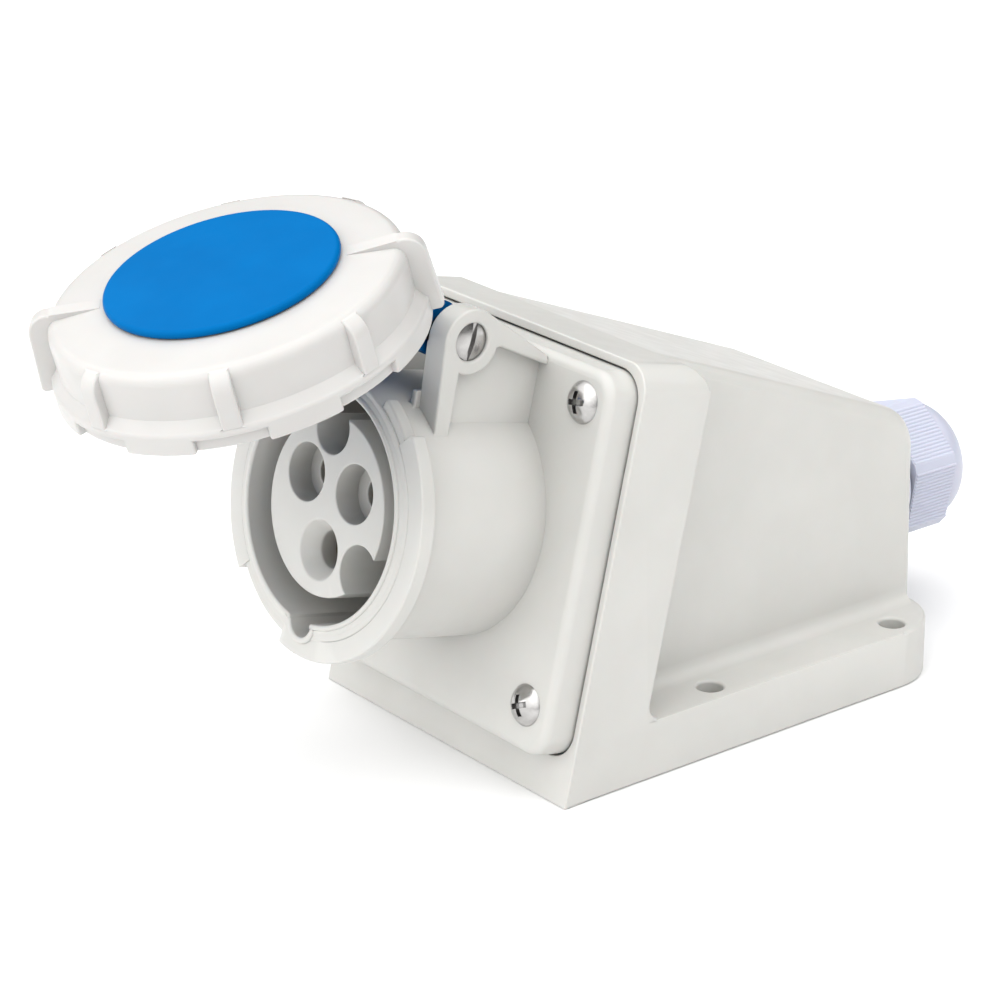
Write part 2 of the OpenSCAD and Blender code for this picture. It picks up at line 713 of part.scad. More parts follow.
// Slotted sleeve with a shoulder and a drilled terminal end
module contact(hole_r, pin_bore) {
    sleeve_r = pin_bore + sleeve_wall;
    top = sleeve_top(hole_r) - carrier_gap;
    shoulder_top = rim_rear + carrier_rim_t - carrier_gap;
    slot_len = (top - shoulder_top) * 0.6;
    terminal_end = rim_rear - terminal_len;
    color(brass) difference() {
        union() {
            translate([0, 0, rim_rear]) cylinder(r = sleeve_r, h = top - rim_rear);
            translate([0, 0, rim_rear]) cylinder(r = shoulder_r, h = shoulder_top - rim_rear);
            translate([0, 0, terminal_end]) cylinder(r = terminal_r, h = terminal_len + eps);
        }
        translate([0, 0, shoulder_top]) cylinder(r = pin_bore, h = lip_out);
        translate([-sleeve_slot / 2, -far / 2, top - slot_len]) cube([sleeve_slot, far, lip_out]);
        translate([0, 0, terminal_end - eps]) cylinder(r = wire_r, h = terminal_len * 0.8);
        translate([0, 0, terminal_end + terminal_len / 3]) rotate([0, 90, 0])
            cylinder(d = terminal_screw_d + 2 * screw_play, h = far);
    }
}
module line_contact() {
    on_socket() at_contact(line_angle) contact(line_hole_r, line_bore_r);
}
module neutral_contact() {
    on_socket() at_contact(180 - line_angle) contact(line_hole_r, line_bore_r);
}
module earth_contact() {
    on_socket() at_contact(270) contact(earth_hole_r, earth_bore_r);
}
module terminal_screws() {
    reach = terminal_r + 1.5;
    slot_w = terminal_screw_d / 5;
    color(steel) on_socket() for (a = [line_angle, 180 - line_angle, 270]) at_contact(a)
        translate([0, 0, rim_rear - terminal_len + terminal_len / 3]) rotate([0, 90, 0]) difference() {
            translate([0, 0, wire_r / 2]) cylinder(d = terminal_screw_d, h = reach - wire_r / 2);
            translate([-terminal_screw_d, -slot_w / 2, reach - slot_w]) cube([2 * terminal_screw_d, slot_w, reach]);
        }
}
module contact_retainer() {
    color(box_grey) on_socket() difference() {
        translate([0, 0, retainer_rear]) cylinder(r = carrier_rim_r, h = retainer_t);
        for (a = [line_angle, 180 - line_angle, 270]) at_contact(a)
            translate([0, 0, retainer_rear - eps]) cylinder(r = terminal_r + carrier_gap, h = retainer_t + 2 * eps);
        retainer_holes() translate([0, 0, retainer_rear - eps])
            cylinder(d = retainer_screw_d + 2 * screw_play, h = retainer_t + 2 * eps);
    }
}
module retainer_screws() {
    head_r = retainer_screw_d * 0.8;
    color(steel) on_socket() retainer_holes() {
        translate([0, 0, retainer_rear]) cylinder(d = retainer_screw_d, h = floor_rear + floor_t / 2 - retainer_rear);
        difference() {
            translate([0, 0, retainer_rear]) mirror([0, 0, 1]) dome_head(head_r, head_r / 2);
            translate([0, 0, retainer_rear - head_r / 2]) cross_slot(head_r, head_r / 3, head_r / 4);
        }
    }
}
module hinge_pin() {
    slot_w = pin_head_d / 7;
    slot_turn = 64;
    color(steel) on_socket() on_hinge() rotate([0, 90, 0]) {
        translate([0, 0, -ear_out + pin_head_h / 2]) cylinder(r = pin_r, h = 2 * ear_out - 1.5 * pin_head_h + eps);
        translate([0, 0, ear_out - pin_head_h]) difference() {
            dome_head(pin_head_r, pin_head_h);
            rotate([0, 0, slot_turn]) translate([-pin_head_d, -slot_w / 2, pin_head_h / 2])
                cube([2 * pin_head_d, slot_w, pin_head_h]);
        }
    }
}
module hinge_nut() {
    color(steel) on_socket() on_hinge() rotate([0, -90, 0]) translate([0, 0, ear_out - pin_head_h]) difference() {
        dome_head(pin_head_r, pin_head_h);
        translate([0, 0, -eps]) cylinder(r = pin_r + screw_play, h = pin_head_h / 2 + screw_play);
    }
}
// Wire path of the spring about the hinge axis: fixed leg, coil, lid leg
spring_steps = 16 * spring_turns;
lid_leg = 5.4;
lid_leg_turn = 30;
function coil_angle(t) = 90 - t * (360 * spring_turns - lid_leg_turn);
function coil_point(t, x0) = let (a = coil_angle(t))
    [x0 - t * spring_turns * spring_pitch, spring_r * cos(a), spring_r * sin(a)];
function spring_path(x0) = let (
    coil = [for (i = [0 : spring_steps]) coil_point(i / spring_steps, x0)],
    fixed_leg = hinge_r - barrel_r + wire_d,
    a1 = coil_angle(1))
    concat([coil[0] - [0, fixed_leg, 0]], coil, [coil[spring_steps] + lid_leg * [0, sin(a1), -cos(a1)]]);
// Tube of eight sides swept along a path that winds about the x axis
module wire_tube(path, r) {
    sides = 8;
    n = len(path);
    function heading(i) = path[min(i + 1, n - 1)] - path[max(i - 1, 0)];
    rings = [for (i = [0 : n - 1]) let (
        t = heading(i) / norm(heading(i)),
        u = cross(t, [1, 0, 0]) / norm(cross(t, [1, 0, 0])),
        w = cross(t, u))
        for (k = [0 : sides - 1]) path[i] + r * (cos(360 * k / sides) * u + sin(360 * k / sides) * w)];
    skin = [for (i = [0 : n - 2], k = [0 : sides - 1]) let (a = i * sides, b = a + sides, m = (k + 1) % sides)
        [a + k, a + m, b + m, b + k]];
    ends = [[for (k = [sides - 1 : -1 : 0]) k], [for (k = [0 : sides - 1]) (n - 1) * sides + k]];
    polyhedron(rings, concat(skin, ends), convexity = 6);
}
module hinge_spring() {
    color(rubber) on_socket() on_hinge() wire_tube(spring_path(knuckle_out - wire_d / 2), wire_d / 2);
}
// Section of the cap, open below: boss, plate, gasket seat and skirt
module cap_section() {
    seat_in = bore_r - 2.4;
    seat_rib = 1.6;
    polygon([[0, cap_under], [seat_in, cap_under], [seat_in, cap_bottom + 1.2], [seat_in + seat_rib, cap_bottom + 1.2],
             [seat_in + seat_rib, gasket_top], [cap_r - cap_wall, gasket_top], [cap_r - cap_wall, cap_bottom],
             [cap_r, cap_bottom], [cap_r, cap_top], [cap_boss_r, cap_top], [cap_boss_r, disc_level], [0, disc_level]]);
}
// Arm from the cap through the bare part of the barrel to the hinge
module lid_arm() {
    arm_in = barrel_r + 0.8;
    pass_z = lug_bottom - turn_gap;
    intersection() {
        union() {
            tube(cap_r, arm_in, pass_z - knuckle_r, cap_bottom);
            tube(cap_r, cap_r - cap_wall, pass_z - knuckle_r, cap_under);
        }
        translate([-arm_w / 2, 0, 0]) cube([arm_w, far, far]);
    }
    intersection() {
        side_extrude(-arm_w / 2, arm_w / 2) polygon([
            [arm_in, pass_z], [arm_in, hinge_out + 5], [hinge_r - 5, hinge_out - 4.9], [hinge_r, hinge_out],
            [hinge_r + 3.5, hinge_out + 6], [hinge_r - 2, pass_z - 1.5], [cap_r, pass_z]]);
        difference() {
            translate([-far / 2, 0, 0]) cube([far, far, far]);
            translate([0, 0, -eps]) cylinder(r = arm_in, h = far);
        }
    }
}
module lid_cap() {
    spring_x = knuckle_out - spring_room;
    color(lid_blue) on_lid() difference() {
        union() {
            rotate_extrude() cap_section();
            difference() {
                lid_arm();
                on_hinge() translate([spring_x, 0, 0]) rotate([0, 90, 0]) cylinder(r = pocket_r, h = far);
            }
            on_hinge() translate([-knuckle_out, 0, 0]) rotate([0, 90, 0])
                cylinder(r = knuckle_r, h = knuckle_out + spring_x);
        }
        on_hinge() translate([-far / 2, 0, 0]) rotate([0, 90, 0]) cylinder(r = pin_r + pin_run, h = far);
    }
}
module lid_gasket() {
    color(rubber) on_lid() tube(cap_r - cap_wall - 0.1, bore_r - 0.7, cap_bottom, gasket_top);
}
module lid_disc() {
    edge_r = 0.6 * disc_edge_t;
    dome_r = disc_r - edge_r;
    ball_r = (dome_r * dome_r + disc_dome * disc_dome) / (2 * disc_dome);
    color(lid_blue) on_lid() translate([0, 0, disc_level]) rotate_extrude() {
        square([dome_r, disc_edge_t]);
        intersection() {
            translate([dome_r, disc_edge_t - edge_r]) circle(edge_r);
            translate([dome_r - eps, 0]) square([edge_r + eps, disc_edge_t]);
        }
        intersection() {
            translate([0, disc_edge_t + disc_dome - ball_r]) circle(ball_r, $fn = 720);
            square([dome_r, disc_edge_t + disc_dome]);
        }
    }
}
// Fall of the ring's top from the disc to its rounded edge
ring_fall = 0.8;
// Wall of the ring as a section, with a rounded upper edge and a thicker lower band
module ring_section() {
    difference() {
        union() {
            polygon([[cap_boss_r + turn_gap, ring_under], [cap_boss_r + turn_gap, ring_top], [disc_r, ring_top],
                     [ring_r - ring_edge_r, ring_top - ring_fall], [ring_r - ring_edge_r, ring_under]]);
            translate([ring_r - ring_edge_r, ring_top - ring_fall - ring_edge_r]) circle(ring_edge_r);
            polygon([[ring_bore_r, ring_bottom], [band_r, ring_bottom], [band_r, band_top - 0.6],
                     [band_r - 0.8, band_top], [ring_r, band_top + 2.2], [ring_r, ring_top - ring_fall - ring_edge_r],
                     [ring_r - ring_edge_r, ring_top - ring_fall], [ring_bore_r, ring_top - ring_fall]]);
        }
        translate([0, ring_bottom - ring_h]) square([ring_bore_r, ring_under - ring_bottom + ring_h]);
    }
}
// Wing as a section: over the top face, round the edge and down the wall
module wing_section() {
    bend = 5;
    top = ring_top + 0.9;
    foot_r = band_r + wing_out;
    foot_z = ring_bottom + 1.4;
    shoulder_z = top - 8;
    difference() {
        union() {
            polygon([[disc_r + 1, ring_top - 2], [disc_r + 1, ring_top], [foot_r - bend - 1, top],
                     [foot_r - bend, top - bend], [ring_r - 1, shoulder_z]]);
            translate([foot_r - bend - 1, top - bend]) circle(bend);
            polygon([[ring_r - 1, top - bend], [foot_r - 1, top - bend], [foot_r, foot_z + 0.8], [foot_r - 0.8, foot_z],
                     [band_r - 1, foot_z], [ring_r - 1, band_top]]);
        }
        square([ring_bore_r, ring_under]);
    }
}
// Rib as a section: flush with the band below, its top rounded into the ring's edge
module rib_section() {
    round_r = ring_edge_r + rib_out;
    round_z = ring_top - ring_fall - round_r - 0.1;
    inner_r = ring_r - 1;
    translate([inner_r, band_top - 1]) square([rib_out + 1, round_z - band_top + 1]);
    intersection() {
        translate([ring_r + rib_out - round_r, round_z]) circle(round_r);
        translate([inner_r, round_z - 1]) square([round_r, round_r + 2]);
    }
}
module radial(section_w) {
    translate([0, section_w / 2, 0]) rotate([90, 0, 0]) linear_extrude(section_w) children();
}
module lid_ring() {
    step = 360 / rib_count;
    half = rib_count / 2;
    color(ring_white) on_lid() rotate([0, 0, wing_angle]) {
        difference() {
            union() {
                rotate_extrude() ring_section();
                for (i = [0 : rib_count - 1]) rotate([0, 0, i * step])
                    if (i % half == 0) radial(wing_t) wing_section();
                    else radial(rib_w) rib_section();
            }
            for (i = [0 : rib_count - 1]) if (i % half != 0)
                ring_sector(band_r - notch_depth, band_r + wing_out, ring_bottom - eps, ring_bottom + notch_h,
                            i * step + notch_shift - notch_sweep / 2, i * step + notch_shift + notch_sweep / 2);
        }
        for (a = [0, 180]) {
            ring_sector(lug_r, ring_r, lug_bottom, lug_top, a - lug_sweep / 2, a + lug_sweep / 2);
            ring_sector(ring_bore_r + turn_gap, ring_r, lug_bottom, ring_bottom + 1,
                        a - lug_sweep / 2, a + lug_sweep / 2);
        }
    }
}
// Levels of the gland out of the rear wall
gland_hex_top = gland_washer_t + gland_hex_h;
gland_nut_z = gland_hex_top + gland_nut_gap;
gland_nut_top = gland_nut_z + gland_nut_h;
gland_thread_r = gland_thread_d / 2;
nose_r = gland_thread_r - 0.4;
nose_end = gland_nut_top - 1;
seal_r = nose_r - 3;
module hexagon(af, z0, z1) {
    translate([0, 0, z0]) rotate([0, 0, -gland_turn]) cylinder(r = af / 2 / cos(30), h = z1 - z0, $fn = 6);
}
module gland_washer() {
    color(gland_tint) on_gland() tube(gland_af / 2 + 0.5, gland_thread_r + screw_play, 0, gland_washer_t);
}
module gland_body() {
    finger_slots = 8;
    color(gland_tint) on_gland() difference() {
        union() {
            translate([0, 0, -wall - locknut_t - 2]) cylinder(r = gland_thread_r, h = wall + locknut_t + 2 + gland_washer_t + eps);
            hexagon(gland_af, gland_washer_t, gland_hex_top - gland_collar_t + eps);
            translate([0, 0, gland_hex_top - gland_collar_t]) cylinder(d = gland_collar_d, h = gland_collar_t);
            translate([0, 0, gland_hex_top - eps]) cylinder(r = nose_r, h = nose_end - gland_hex_top);
        }
        translate([0, 0, -far / 2]) cylinder(r = seal_r - 1, h = far);
        translate([0, 0, gland_hex_top]) cylinder(r = seal_r, h = far);
        for (i = [0 : finger_slots - 1]) rotate([0, 0, i * 360 / finger_slots])
            translate([0, -0.6, gland_nut_z + gland_nut_h / 2]) cube([far, 1.2, gland_nut_h]);
    }
}
module gland_locknut() {
    color(gland_tint) on_gland() translate([0, 0, -wall - screw_play - locknut_t]) difference() {
        hexagon(gland_af, 0, locknut_t);
        translate([0, 0, -eps]) cylinder(r = gland_thread_r + screw_play, h = locknut_t + 2 * eps);
    }
}
module gland_seal() {
    color(rubber) on_gland() tube(seal_r - screw_play, cable_d / 2, gland_hex_top, nose_end + 1);
}
// Dome of the gland nut as a section, with the cable hole at its end
module gland_dome_section() {
    rim_r = gland_nut_af / 2 - screw_play;
    hole_r = cable_d / 2 + 3;
    difference() {
        intersection() {
            translate([hole_r, gland_nut_top - eps]) square([rim_r - hole_r, gland_dome_h + eps]);
            union() {
                translate([rim_r - gland_dome_h, gland_nut_top]) circle(gland_dome_h);
                translate([0, gland_nut_top - eps]) square([rim_r - gland_dome_h, gland_dome_h + eps]);
            }
        }
        translate([0, gland_nut_top]) polygon([[0, -1], [nose_r + screw_play, -1], [hole_r, gland_dome_h / 2], [0, gland_dome_h / 2]]);
    }
}
module gland_nut() {
    strip_af = gland_nut_af / cos(30) - gland_nut_strip / tan(60);
    color(gland_tint) on_gland() {
        difference() {
            intersection() {
                hexagon(gland_nut_af, gland_nut_z, gland_nut_top);
                rotate([0, 0, 30]) hexagon(strip_af, gland_nut_z - 1, gland_nut_top + 1);
            }
            translate([0, 0, gland_nut_z - eps]) cylinder(r = nose_r + screw_play, h = gland_nut_h + 2 * eps);
        }
        rotate_extrude() gland_dome_section();
    }
}

wall_box();
flange_gasket();
socket_housing();
flange_screws();
contact_carrier();
line_contact();
neutral_contact();
earth_contact();
terminal_screws();
contact_retainer();
retainer_screws();
hinge_pin();
hinge_nut();
hinge_spring();
lid_cap();
lid_gasket();
lid_disc();
lid_ring();
gland_washer();
gland_body();
gland_locknut();
gland_seal();
gland_nut();
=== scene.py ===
import json
import math
from itertools import combinations

import bmesh
import bpy
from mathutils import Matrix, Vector


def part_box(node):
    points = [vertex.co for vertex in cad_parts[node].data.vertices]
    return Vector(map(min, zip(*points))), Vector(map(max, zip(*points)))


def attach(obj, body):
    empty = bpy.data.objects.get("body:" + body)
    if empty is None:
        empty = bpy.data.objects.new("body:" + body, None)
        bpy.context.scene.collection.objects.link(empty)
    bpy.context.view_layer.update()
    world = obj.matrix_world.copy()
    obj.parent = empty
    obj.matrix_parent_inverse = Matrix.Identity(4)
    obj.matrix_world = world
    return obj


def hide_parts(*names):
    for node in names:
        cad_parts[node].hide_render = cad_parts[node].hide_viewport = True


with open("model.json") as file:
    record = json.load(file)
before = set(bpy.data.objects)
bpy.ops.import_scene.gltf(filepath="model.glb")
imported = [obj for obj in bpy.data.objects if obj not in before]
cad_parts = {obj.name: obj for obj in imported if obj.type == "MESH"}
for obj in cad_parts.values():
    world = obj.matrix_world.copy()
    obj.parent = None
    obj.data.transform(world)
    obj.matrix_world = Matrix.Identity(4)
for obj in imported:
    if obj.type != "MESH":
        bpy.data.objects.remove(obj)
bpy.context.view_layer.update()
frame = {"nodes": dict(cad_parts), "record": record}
NODES = frame["nodes"]
SLOTS = {part["node"]: part["material_slot"] for part in frame["record"]["subparts"]}
BODY = {node: body for body, nodes in frame["record"]["behaviour"]["bodies"].items() for node in nodes}
MM = 0.001


# Shader helpers

# Most values of a noise lie in the wide span. The narrow one gives more contrast.
WIDE = (0.3, 0.7)
NARROW = (0.35, 0.65)


def add(tree, kind, inputs=None, **settings):
    """A shader node with its settings, and its inputs set or linked by name or number."""
    made = tree.nodes.new(kind)
    for key, value in settings.items():
        setattr(made, key, value)
    for key, value in (inputs or {}).items():
        socket = made.inputs[key]
        if isinstance(value, bpy.types.NodeSocket):
            tree.links.new(value, socket)
        else:
            socket.default_value = value
    return made


def new_material(name, **sockets):
    """A material whose shader has these constant sockets, with its tree, its shader and its places."""
    made = bpy.data.materials.new(name)
    made.use_nodes = True
    tree = made.node_tree
    shader = tree.nodes["Principled BSDF"]
    for key, value in sockets.items():
        shader.inputs[key.replace("_", " ")].default_value = value
    place = add(tree, "ShaderNodeTexCoord").outputs["Object"]
    return made, tree, shader, place


def connect(tree, shader, **values):
    """Links values to the shader's sockets of these names."""
    for key, value in values.items():
        tree.links.new(value, shader.inputs[key.replace("_", " ")])


def noise(tree, place, size, detail, rough=0.5):
    """Noise whose largest grain has this size in metres."""
    inputs = {"Vector": place, "Scale": 1 / size, "Detail": detail, "Roughness": rough}
    return add(tree, "ShaderNodeTexNoise", inputs).outputs["Fac"]


def remap(tree, value, span, to=(0, 1)):
    """The value, stretched from one span to another and held inside it."""
    inputs = {"Value": value, "From Min": span[0], "From Max": span[1], "To Min": to[0], "To Max": to[1]}
    return add(tree, "ShaderNodeMapRange", inputs).outputs["Result"]


def mix(tree, factor, first, second, blend="MIX"):
    """Two colours mixed. Inputs 6 and 7 and output 2 are the mix node's colour sockets."""
    inputs = {0: factor, 6: first, 7: second}
    return add(tree, "ShaderNodeMix", inputs, data_type="RGBA", blend_type=blend).outputs[2]


def bump(tree, height, depth, strength, normal=None):
    inputs = {"Height": height, "Distance": depth, "Strength": strength}
    if normal is not None:
        inputs["Normal"] = normal
    return add(tree, "ShaderNodeBump", inputs).outputs["Normal"]


def pointiness(tree):
    """Above a half on outer edges, below it in hollows."""
    return add(tree, "ShaderNodeNewGeometry").outputs["Pointiness"]


def painted_crevice_shade(tree, colour, reach, depth, closed=0.08, open_from=0.42, own=False):
    """Painted shade: the colour, darker by depth where other faces, or only the piece's own, close in within
    reach.
    """
    around = add(tree, "ShaderNodeAmbientOcclusion", {"Distance": reach}, samples=2, only_local=own)
    shade = remap(tree, around.outputs["AO"], (closed, open_from), (1 - depth, 1))
    grey = add(tree, "ShaderNodeCombineColor", {0: shade, 1: shade, 2: shade}).outputs[0]
    return mix(tree, 1.0, colour, grey, "MULTIPLY")


def stretched(tree, place, scale):
    return add(tree, "ShaderNodeMapping", {"Vector": place, "Scale": scale}).outputs["Vector"]


# Materials

def moulded(name, tones, rough, grain, subsurface=0.0, gloss=0.45, painted_edge_highlight=0.6, painted_deep_shade=0.0):
    """Moulded plastic: clouds of colour, a painted highlight on outer edges, painted shade in seams and
    narrow gaps and, if asked, in deep recesses, spark-eroded grain and soft sinks.
    """
    light, dark = tones
    cloud_size, speck_size, sheen_size, sink_size = 22 * MM, 0.9 * MM, 6 * MM, 14 * MM
    speck_share = 0.12
    edge_span, edge_gain, edge_lift = (0.52, 0.6), 1.07, 0.01
    sheen_span = (rough - 0.05, rough + 0.06)
    pale = tuple(min(1.0, c * edge_gain + edge_lift) for c in light)
    made, tree, shader, place = new_material(
        name, Subsurface_Weight=subsurface, Subsurface_Scale=0.6 * MM, Specular_IOR_Level=gloss)
    clouds = remap(tree, noise(tree, place, cloud_size, detail=3), NARROW)
    specks = remap(tree, noise(tree, place, speck_size, detail=3, rough=0.7), WIDE, (0, speck_share))
    # Painted highlight: outer edges, found by pointiness, are mixed towards a paler tone.
    edges = remap(tree, pointiness(tree), edge_span, (0, painted_edge_highlight))
    colour = mix(tree, clouds, (*dark, 1), (*light, 1))
    colour = mix(tree, specks, colour, (*dark, 1))
    colour = mix(tree, edges, colour, (*pale, 1))
    # Painted shade: the colour is darkened in seams and narrow gaps within 1.6 mm.
    colour = painted_crevice_shade(tree, colour, reach=1.6 * MM, depth=0.35)
    # Painted shade: deep recesses of the piece itself, within 30 mm, are darkened further.
    if painted_deep_shade:
        colour = painted_crevice_shade(tree, colour, reach=30 * MM, depth=painted_deep_shade, closed=0.1, open_from=0.45, own=True)
    sheen = remap(tree, noise(tree, place, sheen_size, detail=3), WIDE, sheen_span)
    sinks = bump(tree, noise(tree, place, sink_size, detail=1), depth=0.05 * MM, strength=0.5)
    pores = noise(tree, place, grain, detail=2, rough=0.6)
    skin = bump(tree, pores, depth=0.012 * MM, strength=0.6, normal=sinks)
    connect(tree, shader, Base_Color=colour, Roughness=sheen, Normal=skin)
    return made


def metal(name, tones, rough, scratch):
    """Bright metal: fine scratches in two directions, cloudy polish, and painted shade in hollows and
    recesses.
    """
    light, dark = tones
    cloud_size, scratch_depth = 3 * MM, 0.004 * MM
    across_scale, along_scale = (1, 14, 3), (12, 1, 4)
    hollow_span, hollow_share, hollow_gain = (0.49, 0.40), 0.7, 0.45
    line_span, polish_span = (0.1, 0.45), (rough - 0.06, rough + 0.1)
    shade = tuple(c * hollow_gain for c in dark)
    made, tree, shader, place = new_material(name, Metallic=1.0)
    across = noise(tree, stretched(tree, place, across_scale), scratch, detail=4, rough=0.7)
    along = noise(tree, stretched(tree, place, along_scale), scratch, detail=4, rough=0.7)
    lines = add(tree, "ShaderNodeMath", {0: across, 1: along}, operation="MULTIPLY").outputs[0]
    clouds = remap(tree, noise(tree, place, cloud_size, detail=3), WIDE)
    # Painted shade: hollows, found by pointiness, are mixed towards a darker copy of the dark tone.
    hollows = remap(tree, pointiness(tree), hollow_span, (0, hollow_share))
    colour = mix(tree, clouds, (*dark, 1), (*light, 1))
    colour = mix(tree, hollows, colour, (*shade, 1))
    # Painted shade: the colour is darkened in slots and recesses within 1.5 mm.
    colour = painted_crevice_shade(tree, colour, reach=1.5 * MM, depth=0.85, closed=0.2, open_from=0.85)
    polish = remap(tree, lines, line_span, polish_span)
    skin = bump(tree, lines, depth=scratch_depth, strength=0.5)
    connect(tree, shader, Base_Color=colour, Roughness=polish, Normal=skin)
    return made


def black_rubber():
    """Matt black rubber with a pale bloom and a pebbled skin."""
    black, bloomed = (0.012, 0.012, 0.013, 1), (0.03, 0.03, 0.031, 1)
    bloom_size, pebble_size = 5 * MM, 0.5 * MM
    bloom_span, rough_span = (0.35, 0.7), (0.55, 0.75)
    made, tree, shader, place = new_material("black_rubber", Specular_IOR_Level=0.3)
    bloom = remap(tree, noise(tree, place, bloom_size, detail=4), bloom_span)
    colour = mix(tree, bloom, black, bloomed)
    rough = remap(tree, bloom, (0, 1), rough_span)
    skin = bump(tree, noise(tree, place, pebble_size, detail=3), depth=0.03 * MM, strength=0.7)
    connect(tree, shader, Base_Color=colour, Roughness=rough, Normal=skin)
    return made


# Light and dark tone of each material
GREY = ((0.545, 0.54, 0.515), (0.52, 0.515, 0.49))
WHITE = ((0.52, 0.51, 0.495), (0.495, 0.485, 0.47))
DISC_BLUE = ((0.0, 0.125, 0.365), (0.0, 0.112, 0.335))
# Painted shade: the cap is the disc's blue plastic painted darker, which also dims the blue light it throws
# on nearby parts.
SHADED_CAP_BLUE = ((0.0, 0.09, 0.28), (0.0, 0.08, 0.255))
LILAC = ((0.49, 0.505, 0.60), (0.465, 0.48, 0.57))
STEEL = ((0.56, 0.55, 0.54), (0.42, 0.41, 0.40))
BLACK_STEEL = ((0.05, 0.05, 0.055), (0.03, 0.03, 0.033))
BRASS = ((0.78, 0.56, 0.22), (0.62, 0.42, 0.14))

FINISH = {
    "grey_plastic": moulded("grey_plastic", GREY, rough=0.36, grain=0.35 * MM, subsurface=0.08),
    "white_plastic": moulded("white_plastic", WHITE, rough=0.34, grain=0.35 * MM, subsurface=0.1),
    "blue_plastic": moulded("blue_plastic", DISC_BLUE, rough=0.34, grain=0.4 * MM, gloss=0.02, painted_edge_highlight=0),
    "gland_plastic": moulded("gland_plastic", LILAC, rough=0.36, grain=0.3 * MM, subsurface=0.1),
    "rubber": black_rubber(),
    "steel": metal("stainless_steel", STEEL, rough=0.22, scratch=0.6 * MM),
    "spring_steel": metal("spring_steel", BLACK_STEEL, rough=0.35, scratch=0.4 * MM),
    "brass": metal("brass", BRASS, rough=0.26, scratch=0.5 * MM),
}
# The lid cap's blue plastic, painted darker as shade.
shaded_cap_blue = moulded("shaded_cap_blue", SHADED_CAP_BLUE, rough=0.34, grain=0.4 * MM, gloss=0.02, painted_edge_highlight=0)
# Grey plastic with painted shade in its deep recesses, such as the socket's bore.
socket_grey_deep_shade = moulded("socket_grey_deep_shade", GREY, rough=0.36, grain=0.35 * MM, subsurface=0.08, painted_deep_shade=0.55)
# Nodes whose finish carries painted shade: the darker cap, and the socket parts with shaded deep recesses.
PAINTED_SHADE_FINISH = {"lid_cap": shaded_cap_blue, "socket_housing": socket_grey_deep_shade, "contact_carrier": socket_grey_deep_shade}


def finish_of(node):
    """The node's copy of a finish with painted shade, or else the finish of its slot."""
    return PAINTED_SHADE_FINISH.get(node, FINISH[SLOTS[node]])


# Pieces

def make_piece(name, form, sharp_from):
    """An object from a form, smooth apart from edges that turn by more than this angle in degrees."""
    mesh = bpy.data.meshes.new(name)
    form.to_mesh(mesh)
    form.free()
    mesh.shade_smooth()
    mesh.set_sharp_from_angle(angle=math.radians(sharp_from))
    piece = bpy.data.objects.new(name, mesh)
    bpy.context.scene.collection.objects.link(piece)
    return piece


def belong(piece, node):
    """The piece takes the node's finish and body."""
    piece.data.materials.append(finish_of(node))
    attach(piece, BODY[node])


def bridge(form, one, two):
    """Faces between two rings of equally many points."""
    for j in range(len(one)):
        form.faces.new((one[j - 1], one[j], two[j], two[j - 1]))


# Rounded edges

# How far the outer edges of each node are rounded, and those near the front of the box
EDGES = {
    "wall_box": 0.9 * MM,
    "socket_housing": 0.6 * MM,
    "lid_ring": 0.6 * MM,
    "contact_carrier": 0.4 * MM,
    "gland_nut": 0.25 * MM,
    "gland_body": 0.25 * MM,
    "flange_screws": 0.12 * MM,
    "hinge_pin": 0.12 * MM,
    "lid_disc": 0.1 * MM,
}
FRONT_EDGE = 0.5 * MM

# Steps in a node's sides that are drawn level, and the distance at which points are joined
FLUSH = {"wall_box": 0.25 * MM}
WELD = 0.002 * MM

# The roof and the front face of the box
ROOF_SLOPE = math.radians(22)
ROOF_TOLERANCE = math.radians(4)
ROOF_FROM_Y = -30 * MM
FRONT_LEAN = math.radians(13)
FRONT_DEPTH = 8 * MM

# The head of the hinge pin: its radius in the solid and as drawn, where its rim starts, and its depths
PIN_SOLID_R = 4.6 * MM
PIN_HEAD_R = 4.88 * MM
PIN_RIM_FROM = 3.9 * MM
PIN_SLOT_DEPTH = 1.0 * MM
PIN_HEAD_DEPTH = 2.0 * MM


def weld(node, flush):
    """The node's mesh as one welded form. Sides that step back by less than flush are drawn level."""
    source = NODES[node].data
    form = bmesh.new()
    points = [form.verts.new(v.co) for v in source.vertices]
    for face in source.polygons:
        form.faces.new([points[i] for i in face.vertices])
    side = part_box(node)[1][0]
    for v in form.verts:
        if side - abs(v.co.x) < flush and v.co.y < 0:
            v.co.x = math.copysign(side, v.co.x)
    bmesh.ops.remove_doubles(form, verts=form.verts, dist=WELD)
    bmesh.ops.dissolve_degenerate(form, edges=form.edges, dist=WELD)
    return form


def corner(one, two, v):
    """Angle between two edges at the point that they share, in degrees."""
    return math.degrees((one.other_vert(v).co - v.co).angle(two.other_vert(v).co - v.co))


def sharp_edges(form, width):
    """Outer edges that turn sharply, apart from those in corners too tight to be rounded by this width."""
    crease, needle, straight = 28, 30, 140
    short_share = 0.65
    form.normal_update()
    creased = {e for e in form.edges if e.is_manifold and e.calc_face_angle(0) > math.radians(crease)}
    short = {e for e in creased if e.calc_length() < short_share * width}
    tight = set()
    for v in form.verts:
        for a, b in combinations([e for e in v.link_edges if e in creased], 2):
            angle = corner(a, b, v)
            if angle < needle or (angle < straight and (a in short or b in short)):
                tight.update((a, b))
    fresh = [e for e in tight if e in short]
    while fresh:
        edge = fresh.pop()
        for v in edge.verts:
            for e in v.link_edges:
                if e in short and e not in tight and corner(edge, e, v) > straight:
                    tight.add(e)
                    fresh.append(e)
    return [e for e in form.edges if e in creased and e.is_convex and e not in tight]


